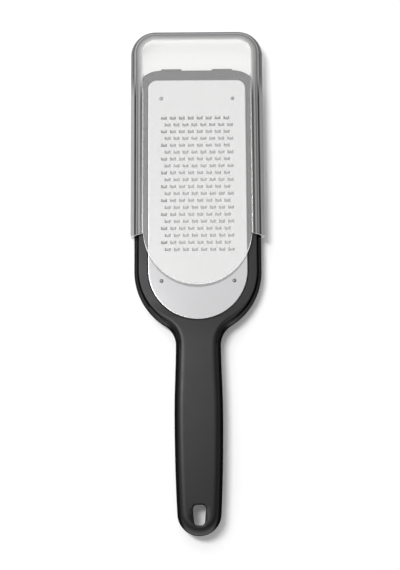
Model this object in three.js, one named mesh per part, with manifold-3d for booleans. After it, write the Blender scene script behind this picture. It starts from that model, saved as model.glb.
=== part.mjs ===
// Fine hand grater lying face up, tip towards +y, with its clear cover drawn part of the way forward.
// Millimetres. x runs from the centre line, y from the butt of the handle, z from the table.
import * as THREE from "three";
import { mergeVertices } from "three/addons/utils/BufferGeometryUtils.js";
import Module from "manifold-3d";

const wasm = await Module();
wasm.setup();

// Clearances
const slideClearance = 0.3;
const fitClearance = 0.3;
const seatGap = 0.15;
const cutOver = 1; // how far a cutter runs past the face that it opens

// Handle, from above
const buttRadius = 11.8;
const buttFlare = 0.056; // how fast the sides widen where they leave the butt's round
const gripHalfWidth = 13.15;
const gripWidestY = 66;
const neckHalfWidth = 12.3;
const neckFilletRadius = 13;

// Handle, in section
const handleHeight = 17;
const bellyEdgeRun = 5.5;
const bellyEdgeRise = 6.5;
const topEdgeRun = 5.4;
const topEdgeRise = 6;

// Hang hole in the butt, wider towards the head
const hangHoleY = 5.6;
const hangHoleLength = 11;
const hangHoleButtWidth = 5.6;
const hangHoleHeadWidth = 7.4;
const hangHoleCorner = 2.2;

// Head frame, from above
const headHalfWidth = 35;
const headRoundY = 143.6; // centre of the head's round rear end
const tipY = 258.3;
const tipCornerRadius = 14.5;
const guideWidth = 2.7; // flange that the cover slides on
const rimWidth = 4.9;

// Head frame, in section
const frameBottomZ = 4;
const guideBottomZ = 6.6;
const guideTopZ = 11;
const rimTopZ = 15;
const edgeBreak = 0.5;
const blendBehindNeck = 4; // the grip's section turns into the rim's over the neck
const blendAheadOfNeck = 24;
const tipEdgeRadius = 1.5;
const tipBlendRun = 9; // the guide flange and its step run out into the tip's plain front over this length
const tipBlendGap = 4; // from the end of that blend to the tip

// Window under the plate
const ledgeWidth = 3.4;
const bossOverlap = 0.8;

// Plate
const plateThickness = 0.6;
const plateBelowRim = 0.4;
const tipRimWidth = 5.9;
const plateCornerRadius = 5;

// Teeth, lanced out of the plate in staggered rows
const toothPitch = 5;
const toothRowPitch = 3.96;
const toothStagger = 1; // each row is moved this far, to one side and the other in turn
const slotWidth = 3.4;
const slotLength = 1.85;
const toothWidth = 1.7;
const toothReach = 1.15;
const toothRise = 0.55;
const toothEdge = 0.12; // thickness left at the cutting edge
const toothBow = 0.12; // how far the tongue's middle hangs below a straight slope
const toothRoot = 0.2; // how far the tongue is rooted in the sheet
const toothSkin = 0.1; // sheet left above and below that root
const toothSideMargin = 6.5;
const toothRearGap = 38.9; // from the plate's rear end to the first row
const toothFrontGap = 21.5;

// Rivets
const rivetEdgeGap = 7.4;
const rivetFrontGap = 10.9;
const rivetRearGap = 21.3;
const rivetHeadRadius = 1.1;
const rivetHeadHeight = 0.4;
const rivetShankRadius = 0.7;
const rivetShankLength = 5;
const rivetHoleClearance = 0.1;

// Rubber feet in the tip
const footX = 14.4;
const footWidth = 11.6;
const footDepth = 6.6;
const footProud = 2.5;
const footTopZ = 9.6;
const footCorner = 0.7;
const footEdge = 0.4;
const footStemRadius = 1.6;
const footStemHeight = 1.8;

// Cover
const coverWall = 1.9;
const coverPanel = 1.5;
const coverAboveRim = 2.2;
const coverEdgeRadius = 6.6;
const coverCornerRadius = 14;
const coverLip = 1.8;
const coverLipHeight = 1.4;
const coverRailLength = 118.15;
const coverRailCorner = 2;
const coverRailSlant = 1.3; // how far the rails' ends slope back towards the handle on the way out
const coverTongueRadius = 30.2;
const coverTongueSetback = 1.4; // from the rails' ends forward to the centre of the tongue's round
const coverPull = 18.75; // how far the cover stands forward of its closed place

// Places that follow from the sizes above
const plateHalfWidth = headHalfWidth - guideWidth - rimWidth;
const plateRoundY = headRoundY;
const plateRearY = plateRoundY - plateHalfWidth;
const plateTipY = tipY - tipRimWidth;
const plateTopZ = rimTopZ - plateBelowRim;
const plateBottomZ = plateTopZ - plateThickness;
const seatZ = plateBottomZ - seatGap;
const footFrontY = tipY + footProud;
const coverHalfWidth = headHalfWidth + slideClearance + coverWall;
const coverLipTopZ = guideBottomZ - slideClearance;
const coverBottomZ = coverLipTopZ - coverLipHeight;
const coverTopZ = rimTopZ + coverAboveRim + coverPanel;
const coverFrontY = footFrontY + slideClearance + coverWall; // with the cover closed
const coverRearY = coverFrontY - coverRailLength;
const overallLength = coverFrontY + coverPull;
const rivetX = plateHalfWidth - rivetEdgeGap;
const rivetPlaces = [
  ["front_left", -rivetX, plateTipY - rivetFrontGap],
  ["front_right", rivetX, plateTipY - rivetFrontGap],
  ["rear_left", -rivetX, plateRearY + rivetRearGap],
  ["rear_right", rivetX, plateRearY + rivetRearGap],
];

// Facets
const arcSteps = 6;
const edgeSteps = 4;
const rivetSides = 12;
const bossSides = 24;
const mergeDistance = 1e-4;

// A closed geometry as a solid that can be joined and cut.
function solidOf(geometry) {
  const bare = geometry.clone();
  bare.deleteAttribute("normal");
  bare.deleteAttribute("uv");
  const merged = mergeVertices(bare, mergeDistance);
  return new wasm.Manifold(
    new wasm.Mesh({
      numProp: 3,
      vertProperties: merged.getAttribute("position").array,
      triVerts: new Uint32Array(merged.index.array),
    }),
  );
}

function geometryOf(solid) {
  const { vertProperties, triVerts } = solid.getMesh();
  const geometry = new THREE.BufferGeometry();
  geometry.setAttribute("position", new THREE.BufferAttribute(vertProperties, 3));
  geometry.setIndex(new THREE.BufferAttribute(triVerts, 1));
  geometry.computeVertexNormals();
  return geometry;
}

// A shape in plan, standing between two heights.
function prism(shape, lowZ, highZ) {
  const geometry = new THREE.ExtrudeGeometry(shape, {
    depth: highZ - lowZ,
    bevelEnabled: false,
    curveSegments: arcSteps,
  });
  return geometry.translate(0, 0, lowZ);
}

function block(lowX, highX, lowY, highY, lowZ, highZ) {
  const geometry = new THREE.BoxGeometry(highX - lowX, highY - lowY, highZ - lowZ);
  return geometry.translate((lowX + highX) / 2, (lowY + highY) / 2, (lowZ + highZ) / 2);
}

function post(x, y, radius, lowZ, highZ, sides) {
  const geometry = new THREE.CylinderGeometry(radius, radius, highZ - lowZ, sides);
  return geometry.rotateX(Math.PI / 2).translate(x, y, (lowZ + highZ) / 2);
}

// A polygon whose corners are rounded, each by its own radius.
function roundedPolygon(corners, radii) {
  const shape = new THREE.Shape();
  corners.forEach((corner, i) => {
    const before = corners[(i + corners.length - 1) % corners.length];
    const after = corners[(i + 1) % corners.length];
    const start = before.clone().sub(corner).setLength(radii[i]).add(corner);
    const end = after.clone().sub(corner).setLength(radii[i]).add(corner);
    if (i === 0) shape.moveTo(start.x, start.y);
    else shape.lineTo(start.x, start.y);
    shape.quadraticCurveTo(corner.x, corner.y, end.x, end.y);
  });
  shape.closePath();
  return shape;
}

// The points of a path, without the doubles where two stretches meet.
function tracePath(path) {
  return path
    .getPoints(arcSteps)
    .filter((point, i, all) => i === 0 || point.distanceTo(all[i - 1]) > mergeDistance);
}

// Outward normals of a half outline that is mirrored in the centre line.
function outwardNormals(half) {
  return half.map((point, i) => {
    const mirrored = point.x === 0 ? half[1] : point;
    const before = i > 0 ? half[i - 1] : new THREE.Vector2(-mirrored.x, mirrored.y);
    const last = i === half.length - 1;
    const after = last ? new THREE.Vector2(-point.x, point.y) : half[i + 1];
    const arriving = point.clone().sub(before).normalize();
    const leaving = after.clone().sub(point).normalize();
    const along = arriving.add(leaving).normalize();
    return new THREE.Vector2(along.y, -along.x);
  });
}

// A body of rings stacked upwards. Each ring is the mirrored half outline, moved inwards and lifted
// by what ringAt gives for that level and point. Flat rungs from side to side close its top and bottom.
function stackRings(half, levels, ringAt) {
  const normals = outwardNormals(half);
  const startsOnAxis = half[0].x === 0;
  const leftFirst = startsOnAxis ? 1 : 0;
  const ringSize = 2 * half.length - leftFirst;
  const positions = [];
  for (let level = 0; level < levels; level++) {
    const right = half.map((point, i) => {
      const { inset, z } = ringAt(level, point);
      return [point.x - normals[i].x * inset, point.y - normals[i].y * inset, z];
    });
    const left = right.slice(leftFirst).reverse();
    right.forEach((place) => positions.push(...place));
    left.forEach(([x, y, z]) => positions.push(-x, y, z));
  }
  const rightIndex = (level, i) => level * ringSize + i;
  const leftIndex = (level, i) => {
    const onAxis = startsOnAxis && i === 0;
    return onAxis ? rightIndex(level, 0) : level * ringSize + 2 * half.length - 1 - i;
  };
  const faces = [];
  for (let level = 0; level + 1 < levels; level++) {
    for (let i = 0; i < ringSize; i++) {
      const next = (i + 1) % ringSize;
      const low = level * ringSize;
      const high = low + ringSize;
      faces.push(low + i, low + next, high + next, low + i, high + next, high + i);
    }
  }
  const top = levels - 1;
  for (let i = 0; i + 1 < half.length; i++) {
    faces.push(rightIndex(top, i), rightIndex(top, i + 1), leftIndex(top, i + 1));
    faces.push(rightIndex(0, i), leftIndex(0, i + 1), rightIndex(0, i + 1));
    if (startsOnAxis && i === 0) continue;
    faces.push(rightIndex(top, i), leftIndex(top, i + 1), leftIndex(top, i));
    faces.push(rightIndex(0, i), leftIndex(0, i), leftIndex(0, i + 1));
  }
  const geometry = new THREE.BufferGeometry();
  geometry.setAttribute("position", new THREE.Float32BufferAttribute(positions, 3));
  geometry.setIndex(faces);
  return geometry;
}

// Right half of the handle and head from above, from the butt to the tip.
const neckFilletX = neckHalfWidth + neckFilletRadius;
const neckFilletDrop = Math.sqrt((headHalfWidth + neckFilletRadius) ** 2 - neckFilletX ** 2);
const neckY = headRoundY - neckFilletDrop;
function handleHalfOutline() {
  const path = new THREE.Path();
  const gripPull = (gripWidestY - buttRadius) / 3;
  const neckPull = (neckY - gripWidestY) / 3;
  path.absarc(0, buttRadius, buttRadius, -Math.PI / 2, -buttFlare, false);
  path.bezierCurveTo(
    buttRadius + buttFlare * gripPull, buttRadius + gripPull,
    gripHalfWidth, gripWidestY - gripPull,
    gripHalfWidth, gripWidestY,
  );
  path.bezierCurveTo(
    gripHalfWidth, gripWidestY + neckPull,
    neckHalfWidth, neckY - neckPull,
    neckHalfWidth, neckY,
  );
  const filletTurn = Math.atan2(neckFilletDrop, neckFilletX);
  path.absarc(neckFilletX, neckY, neckFilletRadius, Math.PI, Math.PI - filletTurn, true);
  path.absarc(0, headRoundY, headHalfWidth, -filletTurn, 0, false);
  const cornerX = headHalfWidth - tipCornerRadius;
  const cornerY = tipY - tipCornerRadius;
  path.lineTo(headHalfWidth, cornerY);
  path.absarc(cornerX, cornerY, tipCornerRadius, 0, Math.PI / 2, false);
  return tracePath(path);
}

// The grip's section, from the belly up: two rounded edges, as [inset, height] pairs.
function gripSection() {
  const section = [];
  for (let step = 0; step <= edgeSteps; step++) {
    const turn = (step / edgeSteps) * (Math.PI / 2);
    section.push([bellyEdgeRun * (1 - Math.sin(turn)), bellyEdgeRise * (1 - Math.cos(turn))]);
  }
  for (let step = 0; step <= edgeSteps; step++) {
    const turn = (step / edgeSteps) * (Math.PI / 2);
    const height = handleHeight - topEdgeRise * (1 - Math.sin(turn));
    section.push([topEdgeRun * (1 - Math.cos(turn)), height]);
  }
  return section;
}

// The head's section, from the frame's underside up: under-cut, guide flange, step and rim.
function rimSection() {
  return [
    [guideWidth + edgeBreak, frameBottomZ],
    [guideWidth, frameBottomZ + edgeBreak],
    [guideWidth, guideBottomZ],
    [edgeBreak, guideBottomZ],
    [0, guideBottomZ + edgeBreak],
    [0, guideTopZ - edgeBreak],
    [edgeBreak, guideTopZ],
    [guideWidth, guideTopZ],
    [guideWidth, rimTopZ - edgeBreak],
    [guideWidth + edgeBreak, rimTopZ],
  ];
}

// The tip's section: the same under-cut below a plain front with a rounded upper edge.
function tipSection() {
  const section = rimSection();
  for (let step = 0; step <= 3; step++) {
    const turn = (step / 3) * (Math.PI / 2);
    const height = rimTopZ - tipEdgeRadius * (1 - Math.sin(turn));
    section[section.length - 5 + step] = [tipEdgeRadius * (1 - Math.cos(turn)), height];
  }
  return section;
}

// The plate's outline, or the line that runs inside it by the inset, or outside it where that is negative.
function plateShape(inset) {
  const halfWidth = plateHalfWidth - inset;
  const frontY = plateTipY - inset;
  const corner = Math.max(plateCornerRadius - inset, mergeDistance * 10);
  const shape = new THREE.Shape();
  shape.absarc(0, plateRoundY, halfWidth, Math.PI, 2 * Math.PI, false);
  shape.lineTo(halfWidth, frontY - corner);
  shape.absarc(halfWidth - corner, frontY - corner, corner, 0, Math.PI / 2, false);
  shape.lineTo(corner - halfWidth, frontY);
  shape.absarc(corner - halfWidth, frontY - corner, corner, Math.PI / 2, Math.PI, false);
  shape.closePath();
  return shape;
}

function hangHole() {
  const buttHalf = hangHoleButtWidth / 2;
  const headHalf = hangHoleHeadWidth / 2;
  const corners = [
    new THREE.Vector2(-buttHalf, hangHoleY),
    new THREE.Vector2(buttHalf, hangHoleY),
    new THREE.Vector2(headHalf, hangHoleY + hangHoleLength),
    new THREE.Vector2(-headHalf, hangHoleY + hangHoleLength),
  ];
  const shape = roundedPolygon(corners, corners.map(() => hangHoleCorner));
  return solidOf(prism(shape, -cutOver, handleHeight + cutOver));
}

// The space under the plate, round the four bosses that carry the rivets.
function frameWindow() {
  let space = solidOf(prism(plateShape(ledgeWidth), frameBottomZ - cutOver, seatZ + cutOver));
  const bossRadius = rivetEdgeGap - ledgeWidth + bossOverlap;
  for (const [, x, y] of rivetPlaces) {
    const low = frameBottomZ - 2 * cutOver;
    space = space.subtract(solidOf(post(x, y, bossRadius, low, seatZ + 2 * cutOver, bossSides)));
  }
  return space;
}

function rivetHole(x, y, lowZ) {
  const radius = rivetShankRadius + rivetHoleClearance;
  return solidOf(post(x, y, radius, lowZ, plateTopZ + cutOver, rivetSides));
}

// The notch in the tip that holds a foot, with the hole for its stem.
function footSocket(side) {
  const x = side * footX;
  const halfWidth = footWidth / 2 + fitClearance;
  const rearY = tipY - footDepth - fitClearance;
  const topZ = footTopZ + fitClearance;
  const notch = solidOf(
    block(x - halfWidth, x + halfWidth, rearY, tipY + cutOver, -cutOver, topZ),
  );
  const stemRadius = footStemRadius + fitClearance;
  const stemTopZ = topZ + footStemHeight;
  const stem = solidOf(
    post(x, tipY - footDepth / 2, stemRadius, topZ - cutOver, stemTopZ, rivetSides),
  );
  return notch.add(stem);
}

function handleFrame() {
  const grip = gripSection();
  const rim = rimSection();
  const tip = tipSection();
  const tipBlendY = tipY - tipBlendGap - tipBlendRun;
  const { lerp, smoothstep } = THREE.MathUtils;
  const blended = (level, point) => {
    const rimShare = smoothstep(point.y, neckY - blendBehindNeck, neckY + blendAheadOfNeck);
    const tipShare = smoothstep(point.y, tipBlendY, tipBlendY + tipBlendRun);
    const [inset, z] = [0, 1].map((part) => {
      const behind = lerp(grip[level][part], rim[level][part], rimShare);
      return lerp(behind, tip[level][part], tipShare);
    });
    return { inset, z };
  };
  let body = solidOf(stackRings(handleHalfOutline(), grip.length, blended));
  body = body.subtract(solidOf(prism(plateShape(-fitClearance), seatZ, handleHeight + cutOver)));
  body = body.subtract(frameWindow());
  body = body.subtract(hangHole());
  const holeLowZ = plateTopZ - rivetShankLength - fitClearance;
  for (const [, x, y] of rivetPlaces) body = body.subtract(rivetHole(x, y, holeLowZ));
  for (const side of [-1, 1]) body = body.subtract(footSocket(side));
  return geometryOf(body);
}

// Centres of the slots, in rows across the plate from the handle end to the tip end.
function toothPlaces() {
  const firstY = plateRearY + toothRearGap;
  const rows = Math.floor((plateTipY - toothFrontGap - firstY) / toothRowPitch) + 1;
  const span = 2 * (plateHalfWidth - toothSideMargin) - slotWidth - 2 * toothStagger;
  const columns = Math.floor(span / toothPitch) + 1;
  const places = [];
  for (let row = 0; row < rows; row++) {
    const shift = (row % 2 ? -1 : 1) * toothStagger;
    for (let column = 0; column < columns; column++) {
      const x = (column - (columns - 1) / 2) * toothPitch + shift;
      places.push([x, firstY + row * toothRowPitch]);
    }
  }
  return places;
}

// One tooth: a tongue that stays rooted at the tip side of its slot and curls up towards the handle,
// thinning from the sheet's own thickness to a cutting edge.
function tooth(x, y) {
  const rootY = y + slotLength / 2;
  const edgeY = rootY - toothReach;
  const middleY = (rootY + edgeY) / 2;
  const edgeZ = plateTopZ + toothRise;
  const rootLowZ = plateBottomZ + toothSkin;
  const rootHighZ = plateTopZ - toothSkin;
  const side = new THREE.Shape();
  side.moveTo(rootY + toothRoot, rootLowZ);
  side.lineTo(rootY + toothRoot, rootHighZ);
  side.lineTo(middleY, (rootHighZ + edgeZ) / 2 - toothBow);
  side.lineTo(edgeY, edgeZ);
  side.lineTo(edgeY, edgeZ - toothEdge);
  side.lineTo(middleY, (rootLowZ + edgeZ - toothEdge) / 2 - toothBow);
  side.lineTo(rootY - toothRoot, rootLowZ);
  side.closePath();
  const geometry = new THREE.ExtrudeGeometry(side, { depth: toothWidth, bevelEnabled: false });
  geometry.applyMatrix4(new THREE.Matrix4().makeBasis(
    new THREE.Vector3(0, 1, 0),
    new THREE.Vector3(0, 0, 1),
    new THREE.Vector3(1, 0, 0),
  ));
  return solidOf(geometry.translate(x - toothWidth / 2, 0, 0));
}

function slot(x, y) {
  const halfWidth = slotWidth / 2;
  const halfLength = slotLength / 2;
  const [lowZ, highZ] = [plateBottomZ - cutOver, plateTopZ + cutOver];
  return solidOf(block(x - halfWidth, x + halfWidth, y - halfLength, y + halfLength, lowZ, highZ));
}

function gratingPlate() {
  const places = toothPlaces();
  const join = (all, one) => all.add(one);
  let plate = solidOf(prism(plateShape(0), plateBottomZ, plateTopZ));
  plate = plate.subtract(places.map(([x, y]) => slot(x, y)).reduce(join));
  for (const [, x, y] of rivetPlaces) plate = plate.subtract(rivetHole(x, y, plateBottomZ - cutOver));
  plate = plate.add(places.map(([x, y]) => tooth(x, y)).reduce(join));
  return geometryOf(plate);
}

// A domed head on a plain shank, turned about its axis, with the underside of its head at z = 0.
function rivet() {
  const profile = [
    new THREE.Vector2(0, -rivetShankLength),
    new THREE.Vector2(rivetShankRadius, -rivetShankLength),
    new THREE.Vector2(rivetShankRadius, 0),
  ];
  for (let step = 0; step < edgeSteps; step++) {
    const turn = (step / edgeSteps) * (Math.PI / 2);
    profile.push(new THREE.Vector2(rivetHeadRadius * Math.cos(turn), rivetHeadHeight * Math.sin(turn)));
  }
  profile.push(new THREE.Vector2(0, rivetHeadHeight));
  return new THREE.LatheGeometry(profile, rivetSides).rotateX(Math.PI / 2);
}

// A rubber block with softened edges and a stem on top, with the middle of its rear at x = y = 0.
function foot() {
  const halfWidth = footWidth / 2;
  const frontY = footDepth + footProud;
  const corners = [
    new THREE.Vector2(-halfWidth, 0),
    new THREE.Vector2(halfWidth, 0),
    new THREE.Vector2(halfWidth, frontY),
    new THREE.Vector2(-halfWidth, frontY),
  ];
  const outline = roundedPolygon(corners, corners.map(() => footCorner));
  const rubber = new THREE.ExtrudeGeometry(outline, {
    depth: footTopZ - 2 * footEdge,
    bevelThickness: footEdge,
    bevelSize: footEdge,
    bevelOffset: -footEdge,
    bevelSegments: 2,
    curveSegments: 3,
  });
  const pad = solidOf(rubber.translate(0, 0, footEdge));
  const stemTopZ = footTopZ + footStemHeight;
  const stem = solidOf(post(0, footDepth / 2, footStemRadius, footTopZ - cutOver, stemTopZ, rivetSides));
  return geometryOf(pad.add(stem));
}

// A lid-shaped body with a rounded upper edge, long enough behind to be trimmed.
function lidBody(halfWidth, frontY, rearY, cornerRadius, edgeRadius, lowZ, topZ) {
  const path = new THREE.Path();
  path.moveTo(halfWidth, rearY);
  path.lineTo(halfWidth, frontY - cornerRadius);
  path.absarc(halfWidth - cornerRadius, frontY - cornerRadius, cornerRadius, 0, Math.PI / 2, false);
  const steps = 2 * edgeSteps;
  const ringAt = (level) => {
    if (level === 0) return { inset: 0, z: lowZ };
    const turn = ((level - 1) / steps) * (Math.PI / 2);
    return {
      inset: edgeRadius * (1 - Math.cos(turn)),
      z: topZ - edgeRadius * (1 - Math.sin(turn)),
    };
  };
  return solidOf(stackRings(tracePath(path), steps + 2, ringAt));
}

// The cover's outline from above: rails along both sides and a round tongue between them.
function coverTrim() {
  const outer = coverHalfWidth + cutOver;
  const tongueTurn = Math.asin(coverTongueSetback / coverTongueRadius);
  const tongueHalfWidth = coverTongueRadius * Math.cos(tongueTurn);
  const tongueY = coverRearY + coverTongueSetback;
  const endY = coverRearY - coverRailSlant;
  const cornerY = endY + coverRailCorner;
  const shape = new THREE.Shape();
  shape.moveTo(tongueHalfWidth, coverRearY);
  shape.lineTo(coverHalfWidth - coverRailCorner, endY);
  shape.quadraticCurveTo(coverHalfWidth, endY, coverHalfWidth, cornerY);
  shape.lineTo(outer, cornerY);
  shape.lineTo(outer, coverFrontY + cutOver);
  shape.lineTo(-outer, coverFrontY + cutOver);
  shape.lineTo(-outer, cornerY);
  shape.lineTo(-coverHalfWidth, cornerY);
  shape.quadraticCurveTo(-coverHalfWidth, endY, coverRailCorner - coverHalfWidth, endY);
  shape.lineTo(-tongueHalfWidth, coverRearY);
  shape.absarc(0, tongueY, coverTongueRadius, Math.PI + tongueTurn, 2 * Math.PI - tongueTurn, false);
  shape.closePath();
  return solidOf(prism(shape, coverBottomZ - cutOver, coverTopZ + cutOver));
}

function protectiveCover() {
  const rearY = coverRearY - coverTongueRadius - 2 * coverEdgeRadius;
  const outside = lidBody(
    coverHalfWidth, coverFrontY, rearY, coverCornerRadius, coverEdgeRadius, coverBottomZ, coverTopZ,
  );
  const inside = lidBody(
    coverHalfWidth - coverWall,
    coverFrontY - coverWall,
    rearY - 2 * coverEdgeRadius,
    coverCornerRadius - coverWall,
    coverEdgeRadius - coverWall,
    coverBottomZ - cutOver,
    coverTopZ - coverPanel,
  );
  let cover = outside.subtract(inside);
  const lipX = coverHalfWidth - coverWall - coverLip;
  const lipFrontY = coverFrontY - coverCornerRadius;
  const lipRearY = coverRearY - coverRailSlant - cutOver;
  for (const side of [-1, 1]) {
    const edges = [side * lipX, side * (coverHalfWidth - coverWall / 2)].sort((a, b) => a - b);
    const lip = block(edges[0], edges[1], lipRearY, lipFrontY, coverBottomZ, coverLipTopZ);
    cover = cover.add(solidOf(lip));
  }
  return geometryOf(cover.intersect(coverTrim()));
}

const blackMoulding = new THREE.MeshStandardMaterial({ color: "#2b2b2d", roughness: 0.5, metalness: 0 });
const satinSteel = new THREE.MeshStandardMaterial({ color: "#d8d9d9", roughness: 0.35, metalness: 1 });
const rivetSteel = new THREE.MeshStandardMaterial({ color: "#8d8e90", roughness: 0.4, metalness: 1 });
const darkRubber = new THREE.MeshStandardMaterial({ color: "#3a3a3c", roughness: 0.8, metalness: 0 });
const clearPlastic = new THREE.MeshStandardMaterial({
  color: "#eef0f0", roughness: 0.08, metalness: 0, transparent: true, opacity: 0.35,
});

function piece(name, geometry, material) {
  const mesh = new THREE.Mesh(geometry, material);
  mesh.name = name;
  return mesh;
}

const grater = new THREE.Group();
grater.add(piece("handle_frame", handleFrame(), blackMoulding));
grater.add(piece("grating_plate", gratingPlate(), satinSteel));
for (const [place, x, y] of rivetPlaces) {
  const mesh = piece("plate_rivet_" + place, rivet(), rivetSteel);
  mesh.position.set(x, y, plateTopZ + rivetHoleClearance);
  grater.add(mesh);
}
for (const [place, side] of [["left", -1], ["right", 1]]) {
  const mesh = piece("front_foot_" + place, foot(), darkRubber);
  mesh.position.set(side * footX, tipY - footDepth, 0);
  grater.add(mesh);
}

const cover = new THREE.Group();
cover.position.y = coverPull;
cover.add(piece("protective_cover", protectiveCover(), clearPlastic));

const part = new THREE.Group();
part.add(grater, cover);
part.position.y = -overallLength / 2; // the middle of the part's length over the origin
export default part;
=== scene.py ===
"""Looks of a fine hand grater with a clear sliding cover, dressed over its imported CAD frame."""

from functools import partial
from math import asin, atan2, cos, hypot, pi, radians, sin, sqrt

import bmesh
import bpy
from mathutils import Matrix, Vector


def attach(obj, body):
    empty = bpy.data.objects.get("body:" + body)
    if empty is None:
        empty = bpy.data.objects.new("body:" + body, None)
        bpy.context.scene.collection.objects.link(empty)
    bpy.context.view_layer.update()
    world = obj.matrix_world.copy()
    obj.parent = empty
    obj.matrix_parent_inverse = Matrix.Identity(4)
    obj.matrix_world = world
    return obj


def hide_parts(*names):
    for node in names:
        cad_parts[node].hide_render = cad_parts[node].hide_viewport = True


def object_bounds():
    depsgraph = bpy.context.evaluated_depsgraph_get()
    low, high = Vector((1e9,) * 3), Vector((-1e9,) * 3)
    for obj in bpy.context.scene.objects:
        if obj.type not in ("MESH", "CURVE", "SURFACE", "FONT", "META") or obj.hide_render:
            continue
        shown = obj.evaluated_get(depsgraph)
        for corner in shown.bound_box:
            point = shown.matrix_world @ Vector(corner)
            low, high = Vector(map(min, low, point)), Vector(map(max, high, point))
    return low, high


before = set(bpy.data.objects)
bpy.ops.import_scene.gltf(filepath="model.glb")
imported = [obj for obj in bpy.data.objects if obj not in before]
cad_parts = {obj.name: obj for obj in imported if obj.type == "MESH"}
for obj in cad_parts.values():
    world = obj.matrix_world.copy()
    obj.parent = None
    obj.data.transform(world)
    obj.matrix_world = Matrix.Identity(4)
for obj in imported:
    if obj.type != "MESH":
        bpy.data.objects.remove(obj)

bl_info = {
    "name": "Fine grater",
    "version": (1, 0, 0),
    "blender": (4, 5, 0),
    "location": "3D View > Sidebar > Grater",
    "description": "Builds a fine hand grater with a toothed steel plate and a clear sliding cover",
    "category": "Object",
}

MM = 0.001
CAD_BOX = [list(corner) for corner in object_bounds()]
BUTT = CAD_BOX[0][1]  # the grip's round end: places along the grater are measured from it
FLOOR = CAD_BOX[0][2]
CLOSE = 0.001 * MM  # points closer together than this are one point
PAST = 1 * MM  # how far a cutter passes the faces that it cuts


def linear(hex_colour):
    """An sRGB hex colour as linear red, green and blue."""
    channels = [int(hex_colour[i:i + 2], 16) / 255 for i in (1, 3, 5)]
    return [c / 12.92 if c <= 0.04045 else ((c + 0.055) / 1.055) ** 2.4 for c in channels]


def length(name, millimetres, description):
    """A length property, written in millimetres and kept in metres."""
    return bpy.props.FloatProperty(
        name=name, description=description, default=millimetres * MM,
        unit="LENGTH", subtype="DISTANCE", precision=5,
    )


def colour(name, hex_colour, description):
    """A colour property, written as sRGB hex and kept linear."""
    return bpy.props.FloatVectorProperty(
        name=name, description=description, default=linear(hex_colour),
        subtype="COLOR", size=3, min=0.0, max=1.0,
    )


class HandleSizes(bpy.types.PropertyGroup):
    """Sizes of the black moulding: grip, neck and the rim of the head."""

    butt_radius: length("Butt radius", 11.8, "Radius of the grip's round end, seen from above")
    grip_half_width: length("Grip half width", 13.15, "Half the grip's width where it is widest")
    grip_widest: length("Widest at", 66, "Where the grip is widest, from the butt")
    neck_half_width: length("Neck half width", 12.3, "Half the width where the grip meets the head")
    neck_fillet: length("Neck fillet", 13, "Radius of the hollow curve from the grip to the head")
    height: length("Height", 17, "Height of the grip's flat top over the floor")
    belly_run: length("Belly edge run", 5.5, "How far the lower edge is rounded, across")
    belly_rise: length("Belly edge rise", 6.5, "How far the lower edge is rounded, upwards")
    top_run: length("Top edge run", 5.4, "How far the upper edge is rounded, across")
    top_rise: length("Top edge rise", 6, "How far the upper edge is rounded, downwards")
    head_half_width: length("Head half width", 35.15, "Half the width over the guide flanges")
    head_centre: length("Head round at", 143.6, "Centre of the head's round end, from the butt")
    tip: length("Tip", 258.3, "The frame's front edge, from the butt")
    tip_corner: length("Tip corner", 14.5, "Radius of the two front corners")
    flange_width: length("Flange width", 2.3, "How far the guide flange stands out of the rim")
    flange_low: length("Flange underside", 6.6, "Height of the flange's underside")
    flange_top: length("Flange top", 11, "Height of the flange's upper face")
    frame_low: length("Frame underside", 4, "Height of the head's underside")
    rim_top: length("Rim top", 15, "Height of the rim's upper face")
    edge: length("Edge radius", 0.6, "Radius of the moulded edges of the rim")
    tip_edge: length("Tip edge radius", 1.5, "Radius of the tip's upper edge")
    flange_edge: length("Flange edge radius", 0.5, "Radius of the flange's outer upper edge")
    neck_blend_start: length("Neck blend start", 4, "How far before the neck the grip starts to change")
    neck_blend_end: length("Neck blend end", 24, "How far past the neck the rim's section is reached")
    tip_blend_start: length("Tip blend start", 13, "How far behind the tip the rim starts to change")
    tip_blend_end: length("Tip blend end", 4, "How far behind the tip its own section is reached")
    recess_edge: length("Recess edge", 0.35, "How far the upper edge of the plate's recess is broken")
    boss_radius: length("Boss radius", 4.8, "Radius of the posts that carry the rivets")
    bead: length("Flange slope", 0.85, "How far the flange's upper face falls to its side")
    groove: length("Groove", 0.65, "Width and half the depth of the groove between the flange and the rim")
    hole_start: length("Hang hole at", 5.6, "Near end of the hang hole, from the butt")
    hole_length: length("Hang hole length", 11, "Length of the hang hole")
    hole_butt_width: length("Hang hole narrow end", 5.6, "Width of the hang hole at its butt end")
    hole_head_width: length("Hang hole wide end", 7.4, "Width of the hang hole at its other end")
    hole_corner: length("Hang hole corner", 2.2, "Corner radius of the hang hole")
    hole_flare: length("Hang hole flare", 0.7, "How far the mouths of the hang hole are rounded")
    foot_x: length("Foot offset", 14.4, "Middle of each foot, from the middle line")
    foot_width: length("Foot width", 11.6, "Width of each rubber foot")
    foot_depth: length("Foot depth", 6.6, "How far each foot reaches in under the tip")
    foot_proud: length("Foot proud", 2.5, "How far each foot stands out of the tip")
    foot_height: length("Foot height", 9.6, "Height of each rubber foot")
    foot_edge: length("Foot edge", 0.5, "Radius of each rubber foot's edges")
    foot_gap: length("Foot gap", 0.3, "Gap between each rubber foot and its socket")
    plastic: colour("Moulding", "#131314", "Colour of the black moulding")
    rubber: colour("Rubber", "#1d1d1e", "Colour of the rubber feet")


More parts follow.
